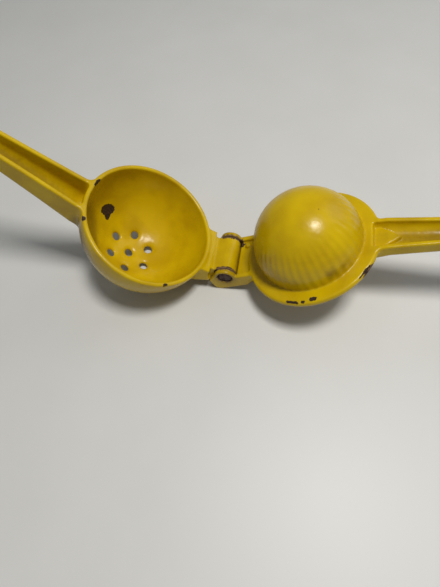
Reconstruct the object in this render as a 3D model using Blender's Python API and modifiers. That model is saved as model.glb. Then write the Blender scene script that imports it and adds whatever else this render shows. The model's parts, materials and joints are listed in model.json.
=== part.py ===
"""Hinged hand press for lemons, standing open on a table like a wide V.

Three separate pieces: the strainer bowl with its handle, the pressing dome
with its handle, and the steel pin that joins them.  Metres, +Z up, the hinge
axis along Y, the dome's handle towards +X.

Each half is drawn in its own hinge frame: the origin is on the pin, +X runs
away from the pin along the half, and +Z is the side that meets the other half.
"""

import math

import bmesh
import bpy
from mathutils import Matrix, Vector

MM = 0.001

# ---------------------------------------------------------------- hinge
OPEN_ANGLE = math.radians(121.9)    # between the rim and the flange, at the stop
PIN_RISE = 0.25 * MM                # pin axis above the rim and above the flange
PIN_RADIUS = 2.5 * MM
PIN_HEAD_OVERHANG = 1.1 * MM
PIN_HEAD_THICKNESS = 0.7 * MM
PIN_HEAD_CROWN = 0.25 * MM
RUNNING_GAP = 0.3 * MM              # between faces that turn or rest on each other
KNUCKLE_LENGTH = 21.6 * MM
KNUCKLE_WALL = 2.9 * MM             # round the bore
EAR_THICKNESS = 2.7 * MM
EAR_RECESS_DEPTH = 1.3 * MM
EAR_RECESS_ROOM = 0.6 * MM          # round the pin's head
EAR_RIM = 1.8 * MM                  # round the recess
SHOULDER_ROOM = 3.4 * MM            # from the ears to the lug's hollow end
STOP_FOOT = 1.5 * MM                # length of the flat under the lug that lands
NECK_REACH = 1.7 * MM               # from the barrel to where the lug's top turns up to it
NECK_OVERLAP = 1.0 * MM             # how far the neck runs into the lug

# ---------------------------------------------------------------- strainer bowl
RIM_REACH = 11.8 * MM               # pin to the bowl's nearest side
BOWL_RADIUS = 36.0 * MM
BOWL_BELLY_DROP = 3.5 * MM          # widest place below the rim
BOWL_DEPTH = 39.0 * MM
BOWL_WALL = 2.5 * MM
BOWL_FLOOR = 2.8 * MM
RIM_ROUND = 0.6 * MM
HOLE_RADIUS = 2.1 * MM
HOLE_RING_RADIUS = 11.8 * MM
HOLES_IN_RING = 6
HOLE_TURN = math.radians(5)         # keeps the drills' edges off the bowl's own
LUG_TOP_DROP = 0.8 * MM             # top of the lug below the rim
LUG_GUSSET_DROP = 15.0 * MM
LUG_GUSSET_SLANT = 1.5 * MM

# ---------------------------------------------------------------- pressing dome
FLANGE_INSET = 1.0 * MM             # inside the bowl's outer edge
FLANGE_THICKNESS = 3.4 * MM
FLANGE_ROUND = 1.3 * MM
PEEL_GAP = 5.8 * MM                 # from the dome to the bowl's side, for the peel
PEEL_GAP_BELOW = 5.3 * MM           # from the dome to the bowl's floor
DOME_CENTRE_RISE = 3.2 * MM
DOME_WALL = 2.5 * MM
DOME_FOOT_ROUND = 1.6 * MM
DOME_BACK_FLARE = 0.6 * MM          # the hollow back widens by this much at its mouth
ARM_DEPTH = 3.6 * MM                # underside of the arms below the ears' round
ARM_TOP_DROP = 0.3 * MM             # top of the arms below the flange
ARM_RUN_IN = 2.2 * MM               # how far the arms run in under the flange
ARM_TAPER = 8.5 * MM                # length over which the arms' underside rises
ARM_END_DROP = 0.8 * MM             # lowest corner of the arms' ends below the flange
HEEL_STEP = 0.6 * MM                # heel of each ear, past the lug's hollow end
HEEL_LAND = 1.6 * MM                # length of the flat that the lug's foot lands on
HEEL_EDGE = 0.3 * MM
HEEL_ROUND = 3.8 * MM
WEB_TOP_DROP = 2.6 * MM
WEB_THICKNESS = 4.6 * MM
WEB_BOSS_RADIUS = 1.6 * MM          # small cast boss on the web, beside the far arm
WEB_BOSS_HEIGHT = 1.7 * MM
WEB_BOSS_PLACE = (10.6 * MM, 8.0 * MM)

# ---------------------------------------------------------------- handles
HANDLE_LENGTH = 116.0 * MM          # from the bowl's side
HANDLE_ROOT_GAP = 2.0 * MM          # from the bowl's side to the root
HANDLE_ROOT_WIDTH = 18.2 * MM
HANDLE_WAIST_REACH = 64.0 * MM      # from the bowl's side to the narrowest place
HANDLE_WAIST_WIDTH = 11.8 * MM
HANDLE_PALM_WIDTH = 15.6 * MM
HANDLE_SLOPE = 0.208                # rise of the meeting edges, near the root
HANDLE_STRAIGHT = 45.0 * MM
HANDLE_EASE = 90.0 * MM             # length over which the slope eases to nothing
HANDLE_EDGE_DROP = 0.3 * MM         # meeting edges below the rim or the flange
HANDLE_WALL = 2.3 * MM
HANDLE_FLOOR = 2.5 * MM
HANDLE_CORNER = 3.0 * MM
HANDLE_CORNER_SHARE = 0.4           # the most of a handle's width that a corner takes
HANDLE_RUN_IN = 6.0 * MM            # how far a handle runs in past the edge it grows from
CHANNEL_ROUNDNESS = 0.44            # bottom corners of a channel, as a share of its width
NARROWEST_CHANNEL = 1.6 * MM        # at the round end
BOWL_HANDLE_ROOT_DEPTH = 17.3 * MM
BOWL_HANDLE_END_DEPTH = 9.4 * MM
DOME_HANDLE_DEPTH = 8.4 * MM
DOME_CHANNEL_RUN_IN = 3.6 * MM      # the dome's channel notches the flange by this much

ROUND_STEPS = 48
ARC_STEPS = 5

HEEL_TOP = 0.0                      # height of the heels' landings, level with the pin
BARREL_ARC = (35, 285)              # degrees of the knuckle's outline that are round
EAR_ARC_END = 140                   # degrees at which an ear's round meets its heel
NECK_FOOT = (0.62, -0.85)           # lower end of the neck, in lengths of the neck
WEB_ARC_END = -75                   # degrees at which the web's hollow ends
WEB_LOW_START = 0.55                # start of the web's underside, in radii of its hollow

# ---------------------------------------------------------------- derived sizes
KNUCKLE_HALF = KNUCKLE_LENGTH / 2
EAR_INNER = KNUCKLE_HALF + RUNNING_GAP
EAR_OUTER = EAR_INNER + EAR_THICKNESS
BORE_RADIUS = PIN_RADIUS + RUNNING_GAP
KNUCKLE_RADIUS = BORE_RADIUS + KNUCKLE_WALL
PIN_HEAD_RADIUS = PIN_RADIUS + PIN_HEAD_OVERHANG
EAR_RECESS_RADIUS = PIN_HEAD_RADIUS + EAR_RECESS_ROOM
EAR_RADIUS = EAR_RECESS_RADIUS + EAR_RIM
SHOULDER_RADIUS = EAR_RADIUS + SHOULDER_ROOM    # hollow end of the lug that the ears turn in
HEEL_REACH = SHOULDER_RADIUS + HEEL_STEP
ARM_DROP = EAR_RADIUS + ARM_DEPTH
NECK = SHOULDER_RADIUS + NECK_OVERLAP
BOWL_CENTRE = RIM_REACH + BOWL_RADIUS           # pin to the middle of bowl and dome
BOWL_MOUTH_RADIUS = BOWL_RADIUS - BOWL_WALL
BOWL_INNER_DEPTH = BOWL_DEPTH - BOWL_FLOOR
FLANGE_RADIUS = BOWL_RADIUS - FLANGE_INSET
DOME_RADIUS = BOWL_MOUTH_RADIUS - PEEL_GAP
DOME_HEIGHT = BOWL_INNER_DEPTH - PEEL_GAP_BELOW
DOME_CHANNEL_START = FLANGE_RADIUS - DOME_CHANNEL_RUN_IN
HANDLE_ROOT = BOWL_RADIUS + HANDLE_ROOT_GAP     # these three from the middle of the bowl
HANDLE_WAIST = BOWL_RADIUS + HANDLE_WAIST_REACH
HANDLE_END = BOWL_RADIUS + HANDLE_LENGTH
HEAD_SEAT = EAR_OUTER - EAR_RECESS_DEPTH + RUNNING_GAP
BOWL_TURN = math.pi - OPEN_ANGLE    # the bowl half's direction, from the -X side
BEYOND = 5 * MM                     # how far a cutter runs past what it cuts

MODEL = "citrus_hand_press"


# ================================================================ small helpers
def clear_scene():
    for thing in list(bpy.data.objects):
        bpy.data.objects.remove(thing, do_unlink=True)


def new_collection(name):
    group = bpy.data.collections.new(name)
    bpy.context.scene.collection.children.link(group)
    return group


def new_material(name, colour, roughness, metallic):
    material = bpy.data.materials.new(name)
    material.use_nodes = True
    shader = material.node_tree.nodes["Principled BSDF"]
    shader.inputs["Base Color"].default_value = (*colour, 1.0)
    shader.inputs["Roughness"].default_value = roughness
    shader.inputs["Metallic"].default_value = metallic
    return material


def add_object(name, mesh, group, parent):
    thing = bpy.data.objects.new(name, mesh)
    group.objects.link(thing)
    thing.parent = parent
    return thing


def hide_tool(thing):
    thing.hide_render = True
    thing.display_type = "WIRE"
    return thing


def combine(target, operand, operation):
    step = target.modifiers.new(operand.name, "BOOLEAN")
    step.operation = operation
    step.solver = "EXACT"
    step.object = operand


def arc(centre, radius, start, end, steps=ARC_STEPS):
    """Points along an arc, angles in degrees, both ends included."""
    points = []
    for i in range(steps + 1):
        angle = math.radians(start + (end - start) * i / steps)
        points.append((centre[0] + radius * math.cos(angle),
                       centre[1] + radius * math.sin(angle)))
    return points


def turned(name, profile, group, parent, steps=ROUND_STEPS):
    """A solid of revolution about Z.  The profile runs top to bottom."""
    mesh = bpy.data.meshes.new(name)
    mesh.from_pydata([(r, 0, z) for r, z in profile],
                     [(i, i + 1) for i in range(len(profile) - 1)], [])
    thing = add_object(name, mesh, group, parent)
    screw = thing.modifiers.new("turn", "SCREW")
    screw.axis = "Z"
    screw.angle = math.tau
    screw.steps = steps
    screw.render_steps = steps
    screw.use_merge_vertices = True
    screw.merge_threshold = 0.00001
    screw.use_smooth_shade = True
    return thing


def extruded(name, outline, half_width, group, parent, middle=0.0):
    """A plate with its outline in XZ, running along Y either side of middle."""
    bm = bmesh.new()
    corners = [bm.verts.new((x, middle - half_width, z)) for x, z in outline]
    face = bm.faces.new(corners)
    result = bmesh.ops.extrude_face_region(bm, geom=[face])
    far = [v for v in result["geom"] if isinstance(v, bmesh.types.BMVert)]
    bmesh.ops.translate(bm, verts=far, vec=(0, 2 * half_width, 0))
    bmesh.ops.recalc_face_normals(bm, faces=bm.faces)
    mesh = bpy.data.meshes.new(name)
    bm.to_mesh(mesh)
    bm.free()
    return add_object(name, mesh, group, parent)


def cylinder_along(name, radius, depth, place, axis, group, parent, sides=32):
    bm = bmesh.new()
    bmesh.ops.create_cone(bm, cap_ends=True, segments=sides,
                          radius1=radius, radius2=radius, depth=depth)
    if axis == "Y":
        bmesh.ops.rotate(bm, verts=bm.verts, cent=(0, 0, 0),
                         matrix=Matrix.Rotation(math.pi / 2, 3, "X"))
    mesh = bpy.data.meshes.new(name)
    bm.to_mesh(mesh)
    bm.free()
    thing = add_object(name, mesh, group, parent)
    thing.location = place
    return thing


def lofted(name, sections, group, parent):
    """A closed solid through a row of like outlines, each a list of points."""
    bm = bmesh.new()
    loops = [[bm.verts.new(point) for point in section] for section in sections]
    count = len(loops[0])
    for first, second in zip(loops, loops[1:]):
        for i in range(count):
            j = (i + 1) % count
            bm.faces.new((first[i], first[j], second[j], second[i]))
    bm.faces.new(loops[0])
    bm.faces.new(loops[-1])
    bmesh.ops.recalc_face_normals(bm, faces=bm.faces)
    mesh = bpy.data.meshes.new(name)
    bm.to_mesh(mesh)
    bm.free()
    return add_object(name, mesh, group, parent)


# ================================================================ handle shape
def handle_width(x):
    """Outside width at x from the middle of the bowl or dome."""
    if x < HANDLE_WAIST:
        share = (HANDLE_WAIST - x) / (HANDLE_WAIST - HANDLE_ROOT)
        return HANDLE_WAIST_WIDTH + (HANDLE_ROOT_WIDTH - HANDLE_WAIST_WIDTH) * share ** 1.25
    share = (x - HANDLE_WAIST) / (HANDLE_END - HANDLE_WAIST)
    eased = share * share * (3 - 2 * share)
    return HANDLE_WAIST_WIDTH + (HANDLE_PALM_WIDTH - HANDLE_WAIST_WIDTH) * eased


def handle_rise(x):
    """Height of the meeting edges off the rim plane, at x."""
    run = max(0.0, x - HANDLE_ROOT)
    bend = max(0.0, run - HANDLE_STRAIGHT)
    return HANDLE_SLOPE * (run - bend * bend / (2 * HANDLE_EASE))


def bowl_handle_depth(x):
    share = max(0.0, (HANDLE_WAIST - x) / (HANDLE_WAIST - HANDLE_ROOT))
    return BOWL_HANDLE_END_DEPTH + (BOWL_HANDLE_ROOT_DEPTH - BOWL_HANDLE_END_DEPTH) * share ** 1.2


def dome_handle_depth(x):
    return DOME_HANDLE_DEPTH


def round_bottom(x, width, top, depth, corner):
    """One section across a handle: flat top, two round bottom corners."""
    side = width / 2
    low = top - depth + corner
    points = [(side, top)]
    points += arc((side - corner, low), corner, 0, -90, 4)
    points += arc((corner - side, low), corner, -90, -180, 4)
    points += [(-side, top)]
    return [Vector((x, y, z)) for y, z in points]


def end_taper(x, radius):
    """Share of the full width that is left near the round end of the handle."""
    past = max(0.0, x - (HANDLE_END - radius))
    return math.sqrt(max(0.0, 1 - (past / radius) ** 2))


def handle_stations(start, end, round_radius):
    straight = 11
    last = end - round_radius
    places = [start + (last - start) * i / straight for i in range(straight + 1)]
    places += [last + round_radius * math.sin(math.radians(a)) for a in (25, 45, 62, 76)]
    return places


def handle_solid(name, start, depth_at, side, group, parent):
    """The outside of a handle.  side is +1 where the edges rise, -1 where they fall."""
    palm = HANDLE_PALM_WIDTH / 2
    sections = []
    for x in handle_stations(start, HANDLE_END, palm):
        width = handle_width(x) * end_taper(x, palm)
        top = side * handle_rise(x) - PIN_RISE - HANDLE_EDGE_DROP
        depth = depth_at(x)
        corner = min(HANDLE_CORNER, width * HANDLE_CORNER_SHARE)
        sections.append([Vector((BOWL_CENTRE, 0, 0)) + p
                         for p in round_bottom(x, width, top, depth, corner)])
    return lofted(name, sections, group, parent)


def channel_cutter(name, start, depth_at, side, group, parent):
    """What is taken out of a handle to leave its walls and its floor."""
    palm = HANDLE_PALM_WIDTH / 2
    end = HANDLE_END - HANDLE_WALL
    sections = []
    for x in handle_stations(start, end, palm - HANDLE_WALL):
        outside = handle_width(x) * end_taper(x, palm)
        width = max(outside - 2 * HANDLE_WALL, NARROWEST_CHANNEL)
        edge = side * handle_rise(x) - PIN_RISE - HANDLE_EDGE_DROP
        floor = edge - depth_at(x) + HANDLE_FLOOR
        top = edge + BEYOND
        corner = CHANNEL_ROUNDNESS * min(width, 2 * (edge - floor))
        sections.append([Vector((BOWL_CENTRE, 0, 0)) + p
                         for p in round_bottom(x, width, top, top - floor, corner)])
    return lofted(name, sections, group, parent)


# ================================================================ between the frames
def across(point):
    """From one half's hinge frame to the other's, when open; the same both ways."""
    x, z = point
    return (-x * math.cos(BOWL_TURN) + z * math.sin(BOWL_TURN),
            x * math.sin(BOWL_TURN) + z * math.cos(BOWL_TURN))


# ================================================================ strainer bowl
def bowl_outside():
    """Outer profile: round rim edge, then the belly, down to the pole."""
    drop = BOWL_BELLY_DROP
    height = BOWL_DEPTH - drop
    start = math.asin(drop / height)
    rim_radius = BOWL_RADIUS * math.cos(start)
    points = [(0, 0), (rim_radius - RIM_ROUND, 0)]
    points += arc((rim_radius - RIM_ROUND, -RIM_ROUND), RIM_ROUND, 60, 15, 2)
    steps = 15
    for i in range(1, steps):
        angle = -start + (start + math.pi / 2) * i / steps
        points.append((BOWL_RADIUS * math.cos(angle), -drop - height * math.sin(angle)))
    points.append((0, -BOWL_DEPTH))
    return points


def bowl_inside():
    """Inner profile, from above the mouth down to the floor of the bowl."""
    points = [(0, BEYOND), (BOWL_MOUTH_RADIUS + RIM_ROUND, BEYOND),
              (BOWL_MOUTH_RADIUS + RIM_ROUND, 0)]
    points += arc((BOWL_MOUTH_RADIUS + RIM_ROUND, -RIM_ROUND), RIM_ROUND, 120, 165, 2)
    steps = 15
    for i in range(1, steps):
        angle = math.pi / 2 * i / steps
        points.append((BOWL_MOUTH_RADIUS * math.cos(angle),
                       -BOWL_INNER_DEPTH * math.sin(angle)))
    points.append((0, -BOWL_INNER_DEPTH))
    return points


def lug_outline():
    """Side view of the lug: hollow end, foot for the stop, gusset under the bowl."""
    landing = HEEL_TOP + RUNNING_GAP
    tip_x = -math.sqrt(SHOULDER_RADIUS ** 2 - landing ** 2)
    tip = across((tip_x, landing))
    foot = across((tip_x - STOP_FOOT, landing))
    tip_angle = math.degrees(math.atan2(tip[1], tip[0]))
    top = -PIN_RISE - LUG_TOP_DROP
    top_angle = math.degrees(math.asin(top / SHOULDER_RADIUS))
    inside = BOWL_CENTRE - BOWL_MOUTH_RADIUS + RIM_ROUND
    points = arc((0, 0), SHOULDER_RADIUS, top_angle, tip_angle, 7)
    points += [foot, (inside - LUG_GUSSET_SLANT, -LUG_GUSSET_DROP),
               (inside, -LUG_GUSSET_DROP), (inside, top)]
    return points


def knuckle_outline():
    """Side view of the knuckle: the barrel, and the neck that joins it to the lug."""
    top = -PIN_RISE - LUG_TOP_DROP
    points = [(NECK, top), (KNUCKLE_RADIUS + NECK_REACH, top)]
    points += arc((0, 0), KNUCKLE_RADIUS, *BARREL_ARC, 20)
    points += [(NECK * NECK_FOOT[0], NECK * NECK_FOOT[1]), (NECK, -NECK)]
    return points


def make_bowl_half(group, tools, hinge, material):
    middle = (BOWL_CENTRE, 0, -PIN_RISE)
    bowl = turned("strainer_bowl_half", bowl_outside(), group, hinge)
    bowl.location = middle
    bowl.data.materials.append(material)

    lug = extruded("bowl_lug", lug_outline(), EAR_OUTER, tools, hinge)
    knuckle = extruded("bowl_knuckle", knuckle_outline(), KNUCKLE_HALF, tools, hinge)
    start = BOWL_RADIUS - HANDLE_RUN_IN
    handle = handle_solid("bowl_handle", start, bowl_handle_depth, 1, tools, hinge)
    channel = channel_cutter("bowl_channel", start - BEYOND / 2, bowl_handle_depth, 1,
                             tools, hinge)
    combine(handle, channel, "DIFFERENCE")
    for piece in (lug, knuckle, handle):
        combine(bowl, hide_tool(piece), "UNION")

    inside = turned("bowl_hollow", bowl_inside(), tools, hinge)
    inside.location = middle
    bore = cylinder_along("knuckle_bore", BORE_RADIUS, KNUCKLE_LENGTH + 2 * BEYOND,
                          (0, 0, 0), "Y", tools, hinge, 24)
    cutters = [inside, bore]
    places = [(0.0, 0.0)]
    for i in range(HOLES_IN_RING):
        angle = math.tau * (i + 0.5) / HOLES_IN_RING
        places.append((HOLE_RING_RADIUS * math.cos(angle), HOLE_RING_RADIUS * math.sin(angle)))
    for number, (x, y) in enumerate(places):
        drill = cylinder_along("juice_hole_%d" % number, HOLE_RADIUS, BOWL_DEPTH,
                               (BOWL_CENTRE + x, y, -BOWL_DEPTH), "Z", tools, hinge, 16)
        drill.rotation_euler.z = HOLE_TURN
        cutters.append(drill)
    for cutter in cutters:
        combine(bowl, hide_tool(cutter), "DIFFERENCE")
    hide_tool(channel)
    return bowl


# ================================================================ pressing dome
def dome_outside():
    """Dome, its foot round, the flange and its skirt, down to the middle below."""
    steps = 13
    foot = DOME_RADIUS + DOME_FOOT_ROUND
    crown = DOME_HEIGHT - DOME_CENTRE_RISE
    points = [(0, DOME_HEIGHT)]
    for i in range(1, steps + 1):
        angle = math.pi / 2 * (1 - i / steps)
        points.append((DOME_RADIUS * math.cos(angle),
                       DOME_CENTRE_RISE + crown * math.sin(angle)))
    points += arc((foot, DOME_FOOT_ROUND), DOME_FOOT_ROUND, 180, 270, 3)[:-1]
    points += [(foot, 0)]
    points += arc((FLANGE_RADIUS - FLANGE_ROUND, -FLANGE_ROUND), FLANGE_ROUND, 90, 0, 3)
    points += [(FLANGE_RADIUS, -FLANGE_THICKNESS + RIM_ROUND),
               (FLANGE_RADIUS - RIM_ROUND, -FLANGE_THICKNESS), (0, -FLANGE_THICKNESS)]
    return points


def dome_inside():
    """The hollow back of the dome, open below the flange."""
    steps = 12
    radius = DOME_RADIUS - DOME_WALL
    crown = DOME_HEIGHT - DOME_WALL - DOME_CENTRE_RISE
    points = [(0, DOME_CENTRE_RISE + crown)]
    for i in range(1, steps + 1):
        angle = math.pi / 2 * (1 - i / steps)
        points.append((radius * math.cos(angle), DOME_CENTRE_RISE + crown * math.sin(angle)))
    points += [(radius + DOME_BACK_FLARE, -FLANGE_THICKNESS - BEYOND),
               (0, -FLANGE_THICKNESS - BEYOND)]
    return points


def arm_end():
    """How far the arms run in under the flange, from the pin."""
    return BOWL_CENTRE - math.sqrt(FLANGE_RADIUS ** 2 - EAR_OUTER ** 2) + ARM_RUN_IN


def arm_outline():
    """Side view of an ear and its arm: round top, heel with its landing, deep arm."""
    top = -PIN_RISE - ARM_TOP_DROP
    start = math.degrees(math.asin(top / EAR_RADIUS))
    end = arm_end()
    points = arc((0, 0), EAR_RADIUS, start, EAR_ARC_END, 12)
    points += [(-HEEL_REACH + HEEL_EDGE + HEEL_LAND, HEEL_TOP),
               (-HEEL_REACH + HEEL_EDGE, HEEL_TOP), (-HEEL_REACH, HEEL_TOP - HEEL_EDGE)]
    points += arc((-HEEL_REACH + HEEL_ROUND, -ARM_DROP + HEEL_ROUND), HEEL_ROUND, 180, 270, 4)
    points += [(end - ARM_TAPER, -ARM_DROP), (end, -FLANGE_THICKNESS - ARM_END_DROP),
               (end, top)]
    return points


def web_outline():
    """Side view of the plate between the arms, hollowed where the knuckle turns."""
    clear = KNUCKLE_RADIUS + 2 * RUNNING_GAP
    top = -PIN_RISE - WEB_TOP_DROP
    low = top - WEB_THICKNESS
    high_angle = math.degrees(math.asin(top / clear))
    end = arm_end()
    points = arc((0, 0), clear, high_angle, WEB_ARC_END, 6)
    points += [(clear * WEB_LOW_START, low), (end, low), (end, top)]
    return points


def make_dome_half(group, tools, hinge, material):
    middle = (BOWL_CENTRE, 0, -PIN_RISE)
    dome = turned("pressing_dome_half", dome_outside(), group, hinge)
    dome.location = middle
    dome.data.materials.append(material)

    ear_middle = (EAR_INNER + EAR_OUTER) / 2
    joined = [extruded("dome_web", web_outline(), EAR_INNER + EAR_THICKNESS / 2, tools, hinge)]
    boss_low = -PIN_RISE - WEB_TOP_DROP - WEB_THICKNESS / 2
    boss_high = -PIN_RISE - WEB_TOP_DROP + WEB_BOSS_HEIGHT
    joined.append(cylinder_along("web_boss", WEB_BOSS_RADIUS, boss_high - boss_low,
                                 (*WEB_BOSS_PLACE, (boss_low + boss_high) / 2), "Z",
                                 tools, hinge, 16))
    for name, side in (("dome_arm_near", -1), ("dome_arm_far", 1)):
        joined.append(extruded(name, arm_outline(), EAR_THICKNESS / 2, tools, hinge,
                               side * ear_middle))
    joined.append(handle_solid("dome_handle", FLANGE_RADIUS - HANDLE_RUN_IN,
                               dome_handle_depth, -1, tools, hinge))
    for piece in joined:
        combine(dome, hide_tool(piece), "UNION")

    hollow = turned("dome_hollow", dome_inside(), tools, hinge)
    hollow.location = middle
    channel = channel_cutter("dome_channel", DOME_CHANNEL_START, dome_handle_depth, -1,
                             tools, hinge)
    bore = cylinder_along("ear_bore", BORE_RADIUS, 2 * EAR_OUTER + 2 * BEYOND,
                          (0, 0, 0), "Y", tools, hinge, 24)
    cutters = [hollow, channel, bore]
    for name, side in (("recess_near", -1), ("recess_far", 1)):
        place = (0, side * (EAR_OUTER - EAR_RECESS_DEPTH + BEYOND / 2), 0)
        cutters.append(cylinder_along(name, EAR_RECESS_RADIUS, BEYOND, place, "Y",
                                      tools, hinge, 32))
    for cutter in cutters:
        combine(dome, hide_tool(cutter), "DIFFERENCE")
    return dome


# ================================================================ hinge pin
def make_pin(group, hinge, material):
    """A rivet pin with a spread head at each end, lying in the ears' recesses."""
    end = HEAD_SEAT + PIN_HEAD_THICKNESS
    crown = PIN_HEAD_CROWN
    profile = [(0, end), (PIN_HEAD_RADIUS - 2 * crown, end), (PIN_HEAD_RADIUS, end - crown),
               (PIN_HEAD_RADIUS, HEAD_SEAT), (PIN_RADIUS, HEAD_SEAT),
               (PIN_RADIUS, -HEAD_SEAT), (PIN_HEAD_RADIUS, -HEAD_SEAT),
               (PIN_HEAD_RADIUS, crown - end), (PIN_HEAD_RADIUS - 2 * crown, -end), (0, -end)]
    pin = turned("hinge_pin", profile, group, hinge, 24)
    pin.rotation_euler = (math.pi / 2, 0, 0)
    pin.data.materials.append(material)
    return pin


# ================================================================ how it stands
def bowl_support(tilt):
    """How far below the pin the bowl reaches, with its rim tilted up by tilt."""
    height = BOWL_DEPTH - BOWL_BELLY_DROP
    middle_rise = BOWL_CENTRE * math.sin(tilt)
    middle_rise -= (BOWL_BELLY_DROP + PIN_RISE) * math.cos(tilt)
    reach = math.hypot(BOWL_RADIUS * math.sin(tilt), height * math.cos(tilt))
    return reach - middle_rise


def heel_support(tilt):
    """How far below the pin the ears' heels reach, with the dome half tilted up."""
    x = -HEEL_REACH + HEEL_ROUND
    z = -ARM_DROP + HEEL_ROUND
    return HEEL_ROUND - (x * math.sin(tilt) + z * math.cos(tilt))


def standing_tilt():
    """Tilt of the dome half at which the bowl and the heels stand on one plane."""
    low, high = 0.0, BOWL_TURN
    for _ in range(60):
        tilt = (low + high) / 2
        if bowl_support(BOWL_TURN - tilt) > heel_support(tilt):
            high = tilt
        else:
            low = tilt
    return tilt


def world_box(things):
    graph = bpy.context.evaluated_depsgraph_get()
    points = []
    for thing in things:
        shape = thing.evaluated_get(graph)
        points += [shape.matrix_world @ v.co for v in shape.data.vertices]
    low = Vector([min(p[i] for p in points) for i in range(3)])
    high = Vector([max(p[i] for p in points) for i in range(3)])
    return low, high


def smooth_round_faces(things):
    for thing in things:
        thing.data.shade_smooth()


def main():
    clear_scene()
    group = new_collection(MODEL)
    tools = new_collection("cutters")

    stand = bpy.data.objects.new("stand", None)
    hinge = bpy.data.objects.new("dome_hinge", None)
    bowl_hinge = bpy.data.objects.new("bowl_hinge", None)
    for empty in (stand, hinge, bowl_hinge):
        tools.objects.link(empty)
    hinge.parent = stand
    bowl_hinge.parent = hinge
    hinge.rotation_euler = (0, -standing_tilt(), 0)
    bowl_hinge.rotation_euler = (math.pi, -OPEN_ANGLE, 0)

    enamel = (0.60, 0.36, 0.012)
    dome = make_dome_half(group, tools, hinge, new_material("dome_enamel", enamel, 0.32, 0.0))
    bowl = make_bowl_half(group, tools, bowl_hinge,
                          new_material("bowl_enamel", enamel, 0.32, 0.0))
    pin = make_pin(group, hinge, new_material("pin_steel", (0.16, 0.11, 0.08), 0.55, 1.0))
    nodes = (dome, bowl, pin)
    smooth_round_faces(nodes)

    bpy.context.view_layer.update()
    low, high = world_box(nodes)
    stand.location = (-(low.x + high.x) / 2, -(low.y + high.y) / 2, -low.z)
    bpy.context.view_layer.update()


main()
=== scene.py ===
# %% [markdown]
# # A hinged hand press for lemons
#
# Two aluminium castings, each a dish or a dome with a channel-shaped handle, turn on one steel pin.
# They are coated with yellow enamel, which has chipped off the edges and rubbed off the hinge.
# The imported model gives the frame: where the pin is, how far the press opens, how big everything is.
# This script makes the fine castings, the enamel with its wear, and a plain table under soft light.

# %% Load the frame
import json
import math

import bpy
import numpy as np
from mathutils import Matrix, Vector


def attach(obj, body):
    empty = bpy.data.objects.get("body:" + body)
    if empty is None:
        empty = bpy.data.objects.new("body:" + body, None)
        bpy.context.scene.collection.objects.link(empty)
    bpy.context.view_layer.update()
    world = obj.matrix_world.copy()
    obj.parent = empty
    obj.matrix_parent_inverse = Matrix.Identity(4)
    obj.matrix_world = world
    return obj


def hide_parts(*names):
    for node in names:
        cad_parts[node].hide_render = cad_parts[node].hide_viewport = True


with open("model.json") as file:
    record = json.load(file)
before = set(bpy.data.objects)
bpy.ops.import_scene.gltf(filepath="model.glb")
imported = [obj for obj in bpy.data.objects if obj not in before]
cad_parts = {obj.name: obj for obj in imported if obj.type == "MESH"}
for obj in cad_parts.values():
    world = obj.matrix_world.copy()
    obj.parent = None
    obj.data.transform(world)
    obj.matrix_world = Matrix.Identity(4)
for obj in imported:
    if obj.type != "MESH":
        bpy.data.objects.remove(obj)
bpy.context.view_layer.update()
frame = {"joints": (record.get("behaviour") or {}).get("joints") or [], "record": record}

# %% [markdown]
# ## Where the two halves lie
#
# Each half is easiest to describe lying flat: the origin on the pin, +X running away from the pin along
# the half, +Z on the side that meets the other half.  Two matrices carry such a drawing to its place.
# They could be typed in, but then they would part from the model as soon as it changed, so they are
# worked out from the joint's axis and range and from the direction that the flange faces.

# %% Hinge frames
MM = 0.001

joint = frame["joints"][0]
pin_place = Vector(joint["pos_m"])
open_angle = math.radians(joint["range_deg"][1])
flange_axis = next(m["axis"] for m in frame["record"]["mounts"] if m["name"] == "flange_face")
standing_tilt = math.atan2(-flange_axis[0], flange_axis[2])

dome_place = Matrix.Translation(pin_place) @ Matrix.Rotation(-standing_tilt, 4, "Y")
fold_over = Matrix.Rotation(-open_angle, 4, "Y") @ Matrix.Rotation(math.pi, 4, "X")
bowl_place = dome_place @ fold_over
print("opened to", round(math.degrees(open_angle), 1), "degrees, flange tilted",
      round(math.degrees(standing_tilt), 1), "degrees")

# %% [markdown]
# ## The sizes of the castings
#
# These are the design's own sizes, in millimetres, because a caster thinks in millimetres.
# Fits are gaps named once: a face that turns or rests on another stays `RUNNING_GAP` off it.

# %% Sizes, in millimetres
PIN_RISE = 0.25
PIN_RADIUS = 2.5
PIN_HEAD_RADIUS = 3.6
PIN_HEAD_THICKNESS = 0.7
RUNNING_GAP = 0.3
KNUCKLE_HALF = 10.8
KNUCKLE_RADIUS = 5.7
EAR_THICKNESS = 2.7
EAR_RADIUS = 6.0
EAR_RECESS_RADIUS = 4.2
EAR_RECESS_DEPTH = 1.3
SHOULDER_RADIUS = 9.4
STOP_FOOT = 1.5

CENTRE = 47.8
BOWL_RADIUS = 36.0
BOWL_BELLY_DROP = 3.5
BOWL_DEPTH = 39.0
BOWL_MOUTH_RADIUS = 33.5
BOWL_INNER_DEPTH = 36.2
HOLE_RADIUS = 2.1
HOLE_RING_RADIUS = 11.8
HOLES_IN_RING = 6
LUG_TOP_DROP = 0.35                 # 0.8 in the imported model; the coat makes the lug fuller here
LUG_GUSSET_DROP = 15.0
LUG_GUSSET_SLANT = 1.5
LUG_RUN_IN = 0.6                    # past the mouth's nearest side, where the inside cuts it off
NECK_OVERLAP = 1.0
NECK_FOOT = (0.62, -0.85)           # lower end of the neck, in lengths of the neck
BARREL_ARC = (35, 285)              # degrees of the knuckle's outline that are round

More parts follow.
